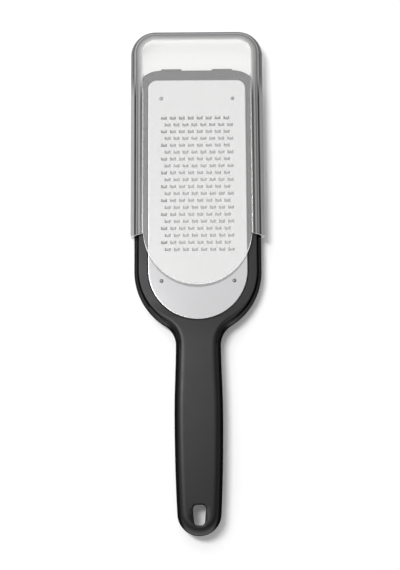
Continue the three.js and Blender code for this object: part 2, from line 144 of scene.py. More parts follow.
class PlateSizes(bpy.types.PropertyGroup):
    """Sizes of the steel plate, its teeth and its rivets."""

    half_width: length("Half width", 27.4, "Half the plate's width, also the radius of its round end")
    centre: length("Round end at", 143.6, "Centre of the plate's round end, from the butt")
    tip: length("Front edge", 252.4, "The plate's front edge, from the butt")
    corner: length("Front corner", 5, "Radius of the plate's front corners")
    top: length("Top", 14.6, "Height of the plate's upper face")
    thickness: length("Thickness", 0.6, "Thickness of the sheet")
    edge: length("Edge roll", 0.3, "How far the sheet's upper edge is rounded")
    burnish: length("Burnished edge", 0.5, "Width of the bright line along the sheet's edge")
    ledge: length("Ledge", 3.4, "Width of the ledge that carries the plate's edge")
    fit: length("Fit", 0.1, "Gap between the plate and the rim round it")
    under_gap: length("Gap under", 0.15, "Gap between the plate and the ledge under it")
    columns: bpy.props.IntProperty(name="Columns", description="Teeth in each row", default=8, min=1)
    rows: bpy.props.IntProperty(name="Rows", description="Rows of teeth", default=20, min=1)
    first_row: length("First row", 154.9, "Middle of the row of slots nearest the handle, from the butt")
    pitch: length("Pitch", 5, "Distance between the teeth of a row")
    row_pitch: length("Row pitch", 3.96, "Distance between rows")
    stagger: length("Stagger", 1, "How far each row is shifted to the side, by turns")
    slot_width: length("Slot width", 3.4, "Width of the opening behind each tooth")
    slot_length: length("Slot length", 1.85, "Length of the opening behind each tooth")
    tooth_width: length("Tooth width", 1.7, "Width of each tooth")
    tooth_reach: length("Tooth reach", 1.15, "How far each tooth reaches over its slot")
    tooth_rise: length("Tooth rise", 0.55, "How high each cutting edge stands over the plate")
    tooth_edge: length("Tooth edge", 0.12, "Thickness of each cutting edge")
    rivet_x: length("Rivet offset", 20, "Distance of the rivets from the middle line")
    rivet_rear: length("Rear rivets", 137.5, "Place of the two rear rivets, from the butt")
    rivet_front: length("Front rivets", 241.5, "Place of the two front rivets, from the butt")
    rivet_radius: length("Rivet head radius", 1.1, "Radius of each rivet's head")
    rivet_head: length("Rivet head height", 0.4, "Height of each rivet's head")
    steel: colour("Plate steel", "#959596", "Colour of the plate")
    # lighter than the plate: a burnished finish that also paints the highlight along the edge
    bright_steel: colour("Bright steel", "#9b9b9c", "Colour of the plate's burnished edge")
    # lighter than the plate: the dull finish of the teeth and the slots' walls, lightened as painted light
    dull_lightened_steel: colour("Dull steel", "#d0d0d0", "Colour of the teeth and of the slots' walls")
    rivet_steel: colour("Rivet steel", "#68686b", "Colour of the rivets")


class CoverSizes(bpy.types.PropertyGroup):
    """Sizes of the clear cover that slides on the guide flanges."""

    half_width: length("Half width", 37.2, "Half the width over the cover's side walls")
    front: length("Front", 281.75, "The cover's front end, from the butt")
    rear: length("Rail ends", 163.6, "The rear ends of the side walls, from the butt")
    slant: length("Rail slant", 1.3, "How far the rails' ends slope back on the way out")
    rail_corner: length("Rail corner", 2, "Radius of the rails' outer rear corners")
    low: length("Underside", 4.9, "Height of the lips' underside")
    top: length("Top", 18.7, "Height of the panel's upper face")
    wall: length("Wall", 1.9, "Thickness of the side walls")
    panel: length("Panel", 1.5, "Thickness of the top panel")
    edge_radius: length("Edge radius", 7, "Outer radius between the walls and the panel")
    corner: length("Front corner", 14, "Radius of the front corners, seen from above")
    lip: length("Lip", 1.8, "How far the lips reach in under the guide flanges")
    lip_height: length("Lip height", 1.4, "Thickness of the lips")
    tongue: length("Tongue", 28.8, "How far the round tongue reaches behind the rail ends")
    step: length("Panel step", 0.3, "How far the panel stands over the rounded shoulders")
    edge: length("Edge round", 0.35, "Radius of the tongue's moulded edge")
    border: length("Tongue border", 0.7, "Width of the dimmer border under the tongue's edge")
    chamfer: length("Chamfer", 0.3, "Bevel of the side walls' lower edge")
    lip_fade: length("Lip end", 4, "How far before the front corners the lips start to fade out")
    setback: length("Tongue setback", 1.4, "How far ahead of the rail ends the tongue's curve is centred")
    # where the painted lines along the edge change from those beside the frame to those of the front
    lines_change: length("Lines change", 242, "Where the lines along the edge start to change, from the butt")
    lines_front: length("Front lines", 254, "Where they have become the lines of the front, from the butt")
    plastic: colour("Clear plastic", "#fffffd", "Tint of the clear cover")


class StageSettings(bpy.types.PropertyGroup):
    """Floor, light and camera."""

    floor: colour("Floor", "#f0f0f0", "Colour of the pale floor")
    floor_glow: bpy.props.FloatProperty(
        name="Floor glow", description="How much of the floor's white is its own near the grater",
        default=0.13, min=0, max=1, subtype="FACTOR")
    floor_near: length("Floor near", 280, "Up to this distance most of the floor's white is the lamps' light")
    floor_far: length("Floor far", 480, "From this distance on all of the floor's white is its own")
    floor_reach: length("Floor reach", 3000, "How far the floor reaches to each side")
    lens: bpy.props.FloatProperty(
        name="Lens", description="Focal length over a 36 mm tall image", default=83.18, min=1, unit="CAMERA")
    place: bpy.props.FloatVectorProperty(
        name="Camera", description="Place of the camera, from the butt", default=(0.00138, 0.00474, 0.7238),
        size=3, subtype="TRANSLATION", unit="LENGTH")
    tilt: bpy.props.FloatProperty(
        name="Tilt", description="Turn of the camera away from straight down", default=radians(10.416),
        subtype="ANGLE", unit="ROTATION")
    pan: bpy.props.FloatProperty(
        name="Pan", description="Turn of the camera about the vertical", default=radians(0.129),
        subtype="ANGLE", unit="ROTATION")
    roll: bpy.props.FloatProperty(
        name="Roll", description="Turn of the camera about its own axis", default=radians(-0.505),
        subtype="ANGLE", unit="ROTATION")


MATH, RANGE = "ShaderNodeMath", "ShaderNodeMapRange"
JOIN_XYZ, SPLIT_XYZ = "ShaderNodeCombineXYZ", "ShaderNodeSeparateXYZ"
NOISE_SPAN = (0.3, 0.7)  # nearly all the values of a noise texture lie in this range


def fill(node, inputs):
    """Gives a node's inputs, by name or number, values or links. A node stands for its first output."""
    for key, value in inputs.items():
        source = value.outputs[0] if isinstance(value, bpy.types.Node) else value
        if isinstance(source, bpy.types.NodeSocket):
            node.id_data.links.new(source, node.inputs[key])
        else:
            node.inputs[key].default_value = source


def add_node(tree, kind, inputs=(), **settings):
    """Adds a node with its settings, and fills its inputs, given by name or in their order."""
    node = tree.nodes.new(kind)
    for key, value in settings.items():
        setattr(node, key, value)
    fill(node, inputs if isinstance(inputs, dict) else dict(enumerate(inputs)))
    return node


def start_material(name, tint):
    """A new material. Returns it with its Principled shader, in that tint, and with what adds its nodes."""
    material = bpy.data.materials.new(name)
    material.use_nodes = True
    shader = material.node_tree.nodes["Principled BSDF"]
    fill(shader, {"Base Color": (*tint, 1.0)})
    return material, shader, partial(add_node, material.node_tree)


def grain(add, size, stretch=(1.0, 1.0, 1.0)):
    """Noise on object coordinates whose lumps measure about size metres, times the stretch."""
    place = add("ShaderNodeTexCoord").outputs["Object"]
    scaled = add("ShaderNodeMapping", {"Vector": place, "Scale": [1.0 / (size * s) for s in stretch]})
    return add("ShaderNodeTexNoise", {"Vector": scaled, "Scale": 1.0})


def level_share(add):
    """How level a face lies: 1 for a flat top or underside, 0 for an upright wall."""
    normal = add(SPLIT_XYZ, (add("ShaderNodeNewGeometry").outputs["True Normal"],))
    return add(MATH, (normal.outputs["Z"],), operation="ABSOLUTE")


def moulded_polypropylene(tint, groove_height):
    """Black moulded plastic with a fine spark-eroded grain: a soft satin sheen, not a mirror.

    Level faces under that height are the floor of the groove beside the guide flange; they get painted shade,
    no gloss.
    """
    material, shader, add = start_material("moulded_polypropylene", tint)
    # the real grain is finer: it is drawn as coarse as it needs to show
    grit = add("ShaderNodeBump", {"Height": grain(add, 0.45 * MM), "Distance": 0.02 * MM, "Strength": 0.35})
    # painted highlight and painted shade: faces turned towards the butt's end get more gloss, which paints a
    # highlight on the butt, and the flanks and steep faces lose their gloss, which paints them black
    normal = add(SPLIT_XYZ, (add("ShaderNodeNewGeometry").outputs["Normal"],)).outputs
    plain_gloss, painted_butt_gloss = 0.21, 0.65
    gloss = add(RANGE, (normal["Y"], -0.1, -0.5, plain_gloss, painted_butt_gloss))
    flank = add(MATH, (normal["X"],), operation="ABSOLUTE")
    facing = add("ShaderNodeLayerWeight").outputs["Facing"]
    for steep, start, end in ((flank, 0.42, 0.66), (facing, 0.45, 0.7)):
        kept = add(RANGE, (steep, start, end, 1.0, 0.0))
        gloss = add(MATH, (gloss, kept), operation="MULTIPLY")
    # painted shade: the floor of the groove gets no gloss, so it stays dark like the shade under the rim
    height = add(SPLIT_XYZ, (add("ShaderNodeTexCoord").outputs["Object"],)).outputs["Z"]
    raised = add(MATH, (height, groove_height), operation="GREATER_THAN")
    tilted = add(MATH, (normal["Z"], 0.8), operation="LESS_THAN")
    gloss = add(MATH, (gloss, add(MATH, (raised, tilted), operation="MAXIMUM")), operation="MULTIPLY")
    # the export drops a gloss that varies, so the shader also holds the plain one
    shader.inputs["Specular IOR Level"].default_value = plain_gloss
    fill(shader, {
        "Normal": grit, "Specular IOR Level": gloss,
        "Roughness": add(RANGE, (grain(add, 9 * MM), *NOISE_SPAN, 0.34, 0.39)),
    })
    return material


def rolled_stainless_steel(tint, edge_tint_and_highlight, dull_lightened_tint):
    """Thin stainless sheet with a faint rolling grain: pale, satin, softly streaked, with a burnished edge
    whose lighter tint also paints a highlight along it.
    """
    material, shader, add = start_material("rolled_stainless_steel", tint)
    # the real rolling grain is finer: it is drawn as coarse as it needs to show
    streak = grain(add, 0.3 * MM, (1.0, 24.0, 1.0))
    # the burnished band along the edge is lighter steel, which also paints the highlight that light draws
    # along the edge
    burnish_and_highlight, teeth = (
        add("ShaderNodeAttribute", attribute_name=name).outputs["Fac"] for name in ("burnish_and_highlight", "dull"))
    # the press leaves the teeth and the slots' walls dull; their lighter tint is painted light, which lifts
    # upright walls that would mirror the shade under the plate and sets the teeth to the slots' grey
    walls = add(MATH, (level_share(add), 0.5), operation="LESS_THAN")
    dull = add(MATH, (teeth, walls), operation="MAXIMUM")
    shade, rough = (*tint, 1.0), add(RANGE, (streak, *NOISE_SPAN, 0.09, 0.12))
    for share, finish, rougher in ((burnish_and_highlight, edge_tint_and_highlight, 0.25), (dull, dull_lightened_tint, 0.4)):
        mixed = add("ShaderNodeMix", {"Factor": share, 6: shade, 7: (*finish, 1.0)}, data_type="RGBA")
        shade = mixed.outputs[2]
        rough = add(MATH, (share, rougher, rough), operation="MULTIPLY_ADD")
    fill(shader, {
        "Base Color": shade, "Metallic": 1.0, "Roughness": rough,
        "Normal": add("ShaderNodeBump", {"Height": streak, "Distance": 0.01 * MM, "Strength": 0.25}),
    })
    return material


def dull_rivet_steel(tint):
    """Dull pressed steel: darker than the plate, so the rivets read as small grey dots."""
    material, shader, add = start_material("dull_rivet_steel", tint)
    fill(shader, {
        "Metallic": 1.0, "Roughness": add(RANGE, (grain(add, 0.25 * MM), *NOISE_SPAN, 0.4, 0.55))})
    return material


def soft_rubber(tint):
    """Matt anti-slip rubber with a fine bloom."""
    material, shader, add = start_material("soft_rubber", tint)
    dust = grain(add, 0.5 * MM)
    fill(shader, {
        "Normal": add("ShaderNodeBump", {"Height": dust, "Distance": 0.03 * MM, "Strength": 0.4}),
        "Roughness": add(RANGE, (dust, *NOISE_SPAN, 0.7, 0.85)),
    })
    return material


def clear_plastic(tint):
    """Clear moulded plastic, a little milky: the rounded shoulders carry painted grey lines that stand in for
    the dark frame, the gap's shade and what is seen through them, and cut edges look frosted.
    """
    material, shader, add = start_material("clear_plastic", tint)
    painted_shoulder, frost, painted_tone, dim = (
        add("ShaderNodeAttribute", attribute_name=name).outputs["Fac"]
        for name in ("painted_shoulder", "frost", "painted_tone", "dim"))
    # painted shade and painted reflection: the shoulders take the grey of their painted lines, let little
    # light through and lose most of their gloss
    depth = add("ShaderNodeMix", {"Factor": painted_shoulder, 6: (*tint, 1.0), 7: painted_tone}, data_type="RGBA")
    clear = add(RANGE, {"Value": painted_shoulder, "To Min": 1.0, "To Max": 0.2})
    polish = add(RANGE, (grain(add, 12 * MM), *NOISE_SPAN, 0.02, 0.05))
    hazes = [add(MATH, (share, haze), operation="MULTIPLY") for share, haze in ((painted_shoulder, 0.3), (frost, 0.55))]
    fill(shader, {
        "Base Color": depth.outputs[2], "IOR": 1.67,
        "Specular IOR Level": add(RANGE, {"Value": painted_shoulder, "To Min": 0.5, "To Max": 0.05}),
        "Transmission Weight": add(MATH, (frost, -0.8, clear), operation="MULTIPLY_ADD"),
        "Roughness": add(MATH, (polish, add(MATH, hazes, operation="MAXIMUM")), operation="ADD"),
    })
    # light falls straight through, so that what lies under the cover is lit; upright walls dim it most
    level_pane, upright_wall = 0.82, 0.3
    path = add("ShaderNodeLightPath").outputs
    mirrored = add(MATH, (path["Is Glossy Ray"], path["Is Transmission Ray"]), operation="SUBTRACT")
    straight_on = add(MATH, (path["Is Shadow Ray"], path["Is Diffuse Ray"]), operation="MAXIMUM")
    straight_on = add(MATH, (straight_on, mirrored), operation="MAXIMUM")
    pane = add(MATH, (mirrored, level_pane), operation="MAXIMUM")
    pane = add(MATH, (pane, dim), operation="SUBTRACT")
    shade = add(RANGE, (level_share(add), 0.1, 0.3, upright_wall, pane))
    through = add("ShaderNodeBsdfTransparent", {"Color": shade})
    mixed = add("ShaderNodeMixShader", (straight_on, shader, through))
    fill(material.node_tree.nodes["Material Output"], {"Surface": mixed})
    return material


def arc(centre, radius, start, end, steps):
    """Points on an arc about a centre, from one angle to another, both ends included."""
    turns = [start + (end - start) * i / steps for i in range(steps + 1)]
    return [(centre[0] + radius * cos(t), centre[1] + radius * sin(t)) for t in turns]


def bezier(a, b, c, d, steps):
    """Points on a cubic curve, without its first point."""
    points = []
    for i in range(1, steps + 1):
        t = i / steps
        weights = ((1 - t) ** 3, 3 * t * (1 - t) ** 2, 3 * t * t * (1 - t), t ** 3)
        points.append(tuple(sum(w * p[k] for w, p in zip(weights, (a, b, c, d))) for k in (0, 1)))
    return points


def blend(start, end, share):
    """The point at that share of the way from one point to another."""
    return tuple(a + (b - a) * share for a, b in zip(start, end))


def straight(start, end, steps):
    """Points on a line, without its first point."""
    return [blend(start, end, i / steps) for i in range(1, steps + 1)]


def round_corner(corner, before, after, radius, steps=4):
    """A right-angled corner as an arc. The unit directions point back along the path and on along it."""
    points = []
    for i in range(steps):
        turn = i / (steps - 1) * pi / 2
        back, on = radius * (1 - sin(turn)), radius * (1 - cos(turn))
        points.append(tuple(corner[k] + back * before[k] + on * after[k] for k in (0, 1)))
    return points


def smoothstep(value, low, high):
    """Rises smoothly from 0 at low to 1 at high."""
    share = min(1.0, max(0.0, (value - low) / (high - low)))
    return share * share * (3 - 2 * share)


def tidy_half(points):
    """A half outline without repeated points, with points close to the middle line set on it."""
    kept = []
    for x, y in points:
        point = (0.0 if abs(x) < CLOSE else x, y)
        if not kept or hypot(point[0] - kept[-1][0], point[1] - kept[-1][1]) > CLOSE:
            kept.append(point)
    return kept


def outward_normals(half):
    """Unit normals of a right half outline that runs from the butt's side to the tip's side."""
    normals = []
    for i, (x, y) in enumerate(half):
        before = half[i - 1] if i else (-half[1][0], half[1][1]) if x == 0 else (x, y)
        after = half[i + 1] if i + 1 < len(half) else (-half[i - 1][0], half[i - 1][1])
        arrive = Vector((x - before[0], y - before[1]))
        leave = Vector((after[0] - x, after[1] - y))
        along = arrive.normalized() + leave.normalized()
        along.normalize()
        normals.append((along.y, -along.x))
    return normals


def stack_rings(half, levels, ring_at):
    """Closed skin of mirrored rings, stacked upwards, with rungs from side to side at its top and bottom.

    ring_at(level, point) says how far the ring lies inside the outline there, and how high.
    """
    normals = outward_normals(half)
    last = len(half) - 1
    on_axis = half[0][0] == 0, half[last][0] == 0
    mirrored = range(last - on_axis[1], -1 + on_axis[0], -1)
    verts = []
    for level in range(levels):
        ring = []
        for point, (nx, ny) in zip(half, normals):
            inset, z = ring_at(level, point)
            ring.append((point[0] - nx * inset, point[1] - ny * inset, z))
        verts += ring + [(-ring[i][0], ring[i][1], ring[i][2]) for i in mirrored]
    around = last + 1 + len(mirrored)
    left = {i: last + 1 + k for k, i in enumerate(mirrored)}
    faces = []
    for level in range(levels - 1):
        low, high = level * around, (level + 1) * around
        for i in range(around):
            j = (i + 1) % around
            faces.append((low + i, low + j, high + j, high + i))
    for base, turned in ((0, True), ((levels - 1) * around, False)):
        for i in range(last):
            rung = list(dict.fromkeys((i, i + 1, left.get(i + 1, i + 1), left.get(i, i))))
            faces.append([base + k for k in (reversed(rung) if turned else rung)])
    return verts, faces


def stack_levels(half, levels):
    """Closed skin of rings, each with one inset and one height all round."""
    return stack_rings(half, len(levels), lambda level, point: levels[level])


def weld(mesh):
    """Joins points that lie very close together, and turns the faces outwards."""
    shape = bmesh.new()
    shape.from_mesh(mesh)
    bmesh.ops.remove_doubles(shape, verts=shape.verts, dist=CLOSE)
    bmesh.ops.recalc_face_normals(shape, faces=shape.faces)
    shape.to_mesh(mesh)
    shape.free()


def make_object(name, verts, faces, material=None):
    """A mesh object from points measured from the butt, with its faces turned outwards."""
    mesh = bpy.data.meshes.new(name)
    mesh.from_pydata([(x, y + BUTT, z) for x, y, z in verts], [], faces)
    weld(mesh)
    if material:
        mesh.materials.append(material)
    obj = bpy.data.objects.new(name, mesh)
    bpy.context.scene.collection.objects.link(obj)
    return obj


def bake(obj):
    """Turns an object's modifiers into its mesh, without empty material slots."""
    shown = obj.evaluated_get(bpy.context.evaluated_depsgraph_get())
    mesh = bpy.data.meshes.new_from_object(shown)
    for slot in reversed(range(len(mesh.materials))):
        if not mesh.materials[slot]:
            mesh.materials.pop(index=slot)
    rough = obj.data
    obj.modifiers.clear()
    obj.data = mesh
    bpy.data.meshes.remove(rough)
    mesh.name = obj.name


def carve(obj, cutter):
    """Cuts one closed object out of another and removes the cutter."""
    cut = obj.modifiers.new("Carve", "BOOLEAN")
    cut.solver = "MANIFOLD"
    cut.operation = "DIFFERENCE"
    cut.object = cutter
    bake(obj)
    weld(obj.data)
    bpy.data.meshes.remove(cutter.data)


def smooth(obj, angle=radians(35)):
    """Smooth shading that stays sharp at hard edges and keeps flat faces flat."""
    obj.data.shade_smooth()
    obj.data.set_sharp_from_angle(angle=angle)
    weighted = obj.modifiers.new("Flats", "WEIGHTED_NORMAL")
    weighted.keep_sharp = True
    bake(obj)


def settle(obj, body, slot, *nodes):
    """Ties a finished piece to its body and hides the CAD nodes it stands for. The material slot it is given
    is not used.
    """
    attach(obj, body)
    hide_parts(*nodes)


def box_points(low, high):
    """Corners and faces of a plain box."""
    xs, ys, zs = zip(low, high)
    corners = [(x, y, z) for z in zs for y in ys for x in xs]
    faces = [(0, 2, 3, 1), (4, 5, 7, 6), (0, 1, 5, 4), (1, 3, 7, 5), (3, 2, 6, 7), (2, 0, 4, 6)]
    return corners, faces


def join_skins(*skins):
    """Points and faces of several skins as one."""
    verts, faces = [], []
    for points, sides in skins:
        faces += [[i + len(verts) for i in face] for face in sides]
        verts += points
    return verts, faces


def plate_outline(plate, inset):
    """Right half of the plate from above, or of a line inside it, from its round end to its front."""
    half_width = plate.half_width - inset
    least = 0.2 * MM  # no corner is quite sharp
    corner = max(plate.corner - inset, least)
    front = plate.tip - inset
    points = arc((0, plate.centre), half_width, -pi / 2, 0, 40)
    points += straight(points[-1], (half_width, front - corner), 12)
    points += arc((half_width - corner, front - corner), corner, 0, pi / 2, 10)
    points.append((0.0, front))
    return tidy_half(points)


def handle_outline(size):
    """Right half of the moulding from above, from the butt to the tip. Also returns where the neck is."""
    fillet_x = size.neck_half_width + size.neck_fillet
    drop = sqrt((size.head_half_width + size.neck_fillet) ** 2 - fillet_x ** 2)
    neck = size.head_centre - drop
    flare = 0.056  # the slope at which the sides leave the round butt
    pull = (size.grip_widest - size.butt_radius) / 3
    neck_pull = (neck - size.grip_widest) / 3
    points = arc((0, size.butt_radius), size.butt_radius, -pi / 2, -flare, 28)
    points += bezier(
        points[-1], (size.butt_radius + flare * pull, size.butt_radius + pull),
        (size.grip_half_width, size.grip_widest - pull), (size.grip_half_width, size.grip_widest), 24)
    points += bezier(
        points[-1], (size.grip_half_width, size.grip_widest + neck_pull),
        (size.neck_half_width, neck - neck_pull), (size.neck_half_width, neck), 20)
    turn = atan2(drop, fillet_x)
    points += arc((fillet_x, neck), size.neck_fillet, pi, pi - turn, 20)
    points += arc((0, size.head_centre), size.head_half_width, -turn, 0, 36)
    side = (size.head_half_width, size.tip - size.tip_corner)
    points += straight(points[-1], side, 16)
    points += arc((side[0] - size.tip_corner, side[1]), size.tip_corner, 0, pi / 2, 20)
    points.append((0.0, size.tip))
    return tidy_half(points), neck


def grip_section(size, lower, upper):
    """The grip's section, from the belly up, as pairs of inset and height: so many for each edge."""
    full = 2 / 2.8  # the upper edge is fuller than an ellipse
    section = []
    for i in range(lower):
        turn = i / (lower - 1) * pi / 2
        section.append((size.belly_run * (1 - sin(turn)), size.belly_rise * (1 - cos(turn))))
    for i in range(upper):
        turn = i / (upper - 1) * pi / 2
        run, rise = 1 - cos(turn) ** full, 1 - sin(turn) ** full
        section.append((size.top_run * run, size.height - size.top_rise * rise))
    return section


def rim_sections(size):
    """The head's section below and above the flange, and the tip's above it: pairs of inset and height."""
    up, down, outwards, inwards = (0, 1), (0, -1), (-1, 0), (1, 0)
    flange, edge = size.flange_width, size.edge
    groove = flange - size.groove, size.flange_top - 2 * size.groove
    below = round_corner((flange, size.frame_low), inwards, up, edge)
    below += round_corner((flange, size.flange_low), down, outwards, edge / 2)
    below += round_corner((0, size.flange_low), inwards, up, edge)
    slope = Vector((groove[0], size.bead)).normalized()
    above = round_corner((0, size.flange_top - size.bead), down, slope, size.flange_edge, 7)
    above += round_corner((groove[0], size.flange_top), -slope, down, edge / 4, 3)
    above += round_corner(groove, up, inwards, edge / 4, 3)
    above += round_corner((flange, groove[1]), outwards, up, edge / 4, 3)
    above += round_corner((flange, size.rim_top), down, inwards, 1.2 * edge, 6)
    front = round_corner((0, size.rim_top), down, inwards, size.tip_edge, len(above) - 1)
    return below, above, front + above[-1:]


class GRATER_OT_handle(bpy.types.Operator):
    """Builds the black moulding: the grip with its hang hole, the neck and the rim that carries the plate"""

    bl_idname = "grater.handle"
    bl_label = "Handle and frame"

    def execute(self, context):
        size = context.scene.grater_handle
        plate = context.scene.grater_plate
        outline, neck = handle_outline(size)
        below, above, front = rim_sections(size)
        rim, tip = below + above, below + front
        grip = grip_section(size, len(below), len(above))

        def past_neck(y):
            return smoothstep(y, neck - size.neck_blend_start, neck + size.neck_blend_end)

        def skin(level, point):
            ahead = smoothstep(point[1], size.tip - size.tip_blend_start, size.tip - size.tip_blend_end)
            behind = blend(grip[level], rim[level], past_neck(point[1]))
            return blend(behind, tip[level], ahead)

        material = moulded_polypropylene(size.plastic, size.flange_top - 1.5 * size.groove)
        handle = make_object("handle_moulding", *stack_rings(outline, len(grip), skin), material)

        seat = plate.top - plate.thickness - plate.under_gap
        edge = size.recess_edge

        def recess(level, point):
            top = size.height + (size.rim_top - size.height) * past_neck(point[1])
            return [(0, seat), (0, top - edge), (-edge, top), (-4 * edge, top + 3 * edge)][level]

        carve(handle, make_object("recess", *stack_rings(plate_outline(plate, -plate.fit), 4, recess)))

        depths = [(0, size.frame_low - PAST), (0, seat + PAST)]
        window = make_object("window", *stack_levels(plate_outline(plate, plate.ledge), depths))
        for x in (-plate.rivet_x, plate.rivet_x):
            for y in (plate.rivet_rear, plate.rivet_front):
                carve(window, self.boss((x, y), size.boss_radius, size.frame_low - 2 * PAST, seat + 2 * PAST))
        carve(handle, window)

        flare, top = size.hole_flare, size.height
        mouths = [
            (-3 * flare, -2 * flare), (0, flare), (0, top - flare), (-0.3 * flare, top - 0.3 * flare),
            (-flare, top), (-3 * flare, top + flare),
        ]
        carve(handle, make_object("hang_hole", *stack_levels(self.hole_outline(size), mouths)))

        gap = size.foot_gap
        for side in (-1, 1):
            x, reach = side * size.foot_x, size.foot_width / 2 + gap
            low = (x - reach, size.tip - size.foot_depth - gap, -PAST)
            high = (x + reach, size.tip + PAST, size.foot_height + gap)
            carve(handle, make_object("socket", *box_points(low, high)))
        smooth(handle)
        settle(handle, "grater", "moulded_handle", "handle_frame")
        return {"FINISHED"}

    def boss(self, centre, radius, low, high):
        """A post that stays in the window under each rivet."""
        count = 32
        ring = arc(centre, radius, 0, 2 * pi * (count - 1) / count, count - 1)
        verts = [(x, y, z) for z in (low, high) for x, y in ring]
        faces = [tuple(reversed(range(count))), tuple(range(count, 2 * count))]
        faces += [(i, (i + 1) % count, count + (i + 1) % count, count + i) for i in range(count)]
        return make_object("boss", verts, faces)

    def hole_outline(self, size):
        """Right half of the hang hole from above: narrow at the butt, wider towards the head."""
        near, far = size.hole_start, size.hole_start + size.hole_length
        low, high, corner = size.hole_butt_width / 2, size.hole_head_width / 2, size.hole_corner
        lean = atan2(high - low, size.hole_length)
        in_by, shift = corner * cos(lean), corner * sin(lean)
        points = [(0.0, near)]
        points += arc((low - in_by + shift, near + corner), corner, -pi / 2, -lean, 10)
        points += arc((high - in_by - shift, far - corner), corner, -lean, pi / 2, 10)
        points.append((0.0, far))
        return tidy_half(points)


def start_tree(name, lengths, counts=()):
    """A Geometry Nodes tree with named inputs. Returns it, what adds its nodes, its inputs and its end."""
    tree = bpy.data.node_groups.new(name, "GeometryNodeTree")
    sockets = [("Geometry", "Geometry"), *((label, "Int") for label in counts)]
    sockets += [*((label, "Float") for label in lengths), ("Material", "Material")]
    for label, kind in sockets:
        tree.interface.new_socket(label, in_out="INPUT", socket_type="NodeSocket" + kind)
    tree.interface.new_socket("Geometry", in_out="OUTPUT", socket_type="NodeSocketGeometry")
    add = partial(add_node, tree)
    return tree, add, add("NodeGroupInput").outputs, add("NodeGroupOutput")


def finish_tree(add, shape, material, end):
    """Ends a tree with real meshes instead of instances, in the material that was given."""
    real = add("GeometryNodeRealizeInstances", {"Geometry": shape})
    fill(end, {"Geometry": add("GeometryNodeSetMaterial", {"Geometry": real, "Material": material})})


def run_tree(obj, tree, values):
    """Runs a tree on an object with these input values, and keeps the result as a plain mesh."""
    nodes = obj.modifiers.new(tree.name, "NODES")
    nodes.node_group = tree
    for item in tree.interface.items_tree:
        if item.in_out == "INPUT" and item.name in values:
            nodes[item.identifier] = values[item.name]
    bake(obj)


def teeth_tree():
    """Cuts rows of slots in a sheet and sets a curled tooth over each of them."""
    tree, add, given, end = start_tree("Grating teeth", (
        "First Row", "Pitch", "Row Pitch", "Stagger", "Top", "Thickness", "Slot Width", "Slot Length",
        "Tooth Width", "Tooth Reach", "Tooth Rise", "Tooth Edge",
    ), ("Columns", "Rows"))

    # rows of places, shifted to the right and to the left by turns
    index = add("GeometryNodeInputIndex")
    column = add(MATH, (index, given["Columns"]), operation="MODULO")
    row = add(MATH, (add(MATH, (index, given["Columns"]), operation="DIVIDE"),), operation="FLOOR")
    middle = add(MATH, (given["Columns"], 0.5, -0.5), operation="MULTIPLY_ADD")
    across = add(MATH, (column, middle), operation="SUBTRACT")
    turn = add(MATH, (add(MATH, (row, 2.0), operation="MODULO"), -2.0, 1.0), operation="MULTIPLY_ADD")
    shift = add(MATH, (turn, given["Stagger"]), operation="MULTIPLY")
    x = add(MATH, (across, given["Pitch"], shift), operation="MULTIPLY_ADD")
    y = add(MATH, (row, given["Row Pitch"], given["First Row"]), operation="MULTIPLY_ADD")
    places = add("GeometryNodePoints", {
        "Count": add(MATH, (given["Columns"], given["Rows"]), operation="MULTIPLY"),
        "Position": add(JOIN_XYZ, (x, y, given["Top"])),
    })

    deep = add(MATH, (given["Thickness"], 4.0), operation="MULTIPLY")
    cutter = add("GeometryNodeMeshCube", {
        "Size": add(JOIN_XYZ, (given["Slot Width"], given["Slot Length"], deep))})
    slots = add("GeometryNodeInstanceOnPoints", {"Points": places, "Instance": cutter})
    slots = add("GeometryNodeRealizeInstances", {"Geometry": slots})
    sheet = add("GeometryNodeMeshBoolean", {
        "Mesh 1": given["Geometry"], "Mesh 2": slots}, operation="DIFFERENCE", solver="MANIFOLD")

    # a tooth is rooted in its slot's far edge, and narrows, thins and curls up towards its free edge
    root, sink = 0.2 * MM, 0.03 * MM
    run = add(MATH, (given["Tooth Reach"], root), operation="ADD")
    blank = add("GeometryNodeMeshCube", {
        "Size": add(JOIN_XYZ, (given["Tooth Width"], run, 1.0)), "Vertices X": 3, "Vertices Y": 9})
    place = add(SPLIT_XYZ, (add("GeometryNodeInputPosition"),)).outputs
    share = add(MATH, (0.5, add(MATH, (place["Y"], run), operation="DIVIDE")), operation="SUBTRACT")
    taper = add(MATH, (share, -0.2, 1.0), operation="MULTIPLY_ADD")
    far_edge = add(MATH, (given["Slot Length"], 0.5, root), operation="MULTIPLY_ADD")
    forward = add(MATH, (run, -0.5, far_edge), operation="MULTIPLY_ADD")
    thinning = add(MATH, (given["Tooth Edge"], given["Thickness"]), operation="SUBTRACT")
    depth = add(MATH, (share, thinning, given["Thickness"]), operation="MULTIPLY_ADD")
    depth = add(MATH, (depth, 2 * sink), operation="SUBTRACT")
    curl = add(MATH, (share, 3.0), operation="POWER")
    curl = add(MATH, (curl, given["Tooth Rise"], -sink), operation="MULTIPLY_ADD")
    below = add(MATH, (place["Z"], 0.5), operation="SUBTRACT")
    bent = add(JOIN_XYZ, (
        add(MATH, (place["X"], taper), operation="MULTIPLY"),
        add(MATH, (place["Y"], forward), operation="ADD"),
        add(MATH, (depth, below, curl), operation="MULTIPLY_ADD"),
    ))
    tooth = add("GeometryNodeSetPosition", {"Geometry": blank, "Position": bent})
    # the tooth's free end gets the dull finish, lightened as painted light
    bare = add(RANGE, {"Value": share, "From Min": 0.45, "From Max": 0.6})
    tooth = add("GeometryNodeStoreNamedAttribute", {
        "Geometry": tooth, "Name": "dull", "Value": bare}, data_type="FLOAT", domain="POINT")
    teeth = add("GeometryNodeInstanceOnPoints", {"Points": places, "Instance": tooth})

    both = add("GeometryNodeJoinGeometry")
    for piece in (teeth, sheet):
        fill(both, {"Geometry": piece})
    finish_tree(add, both, given["Material"], end)
    return tree


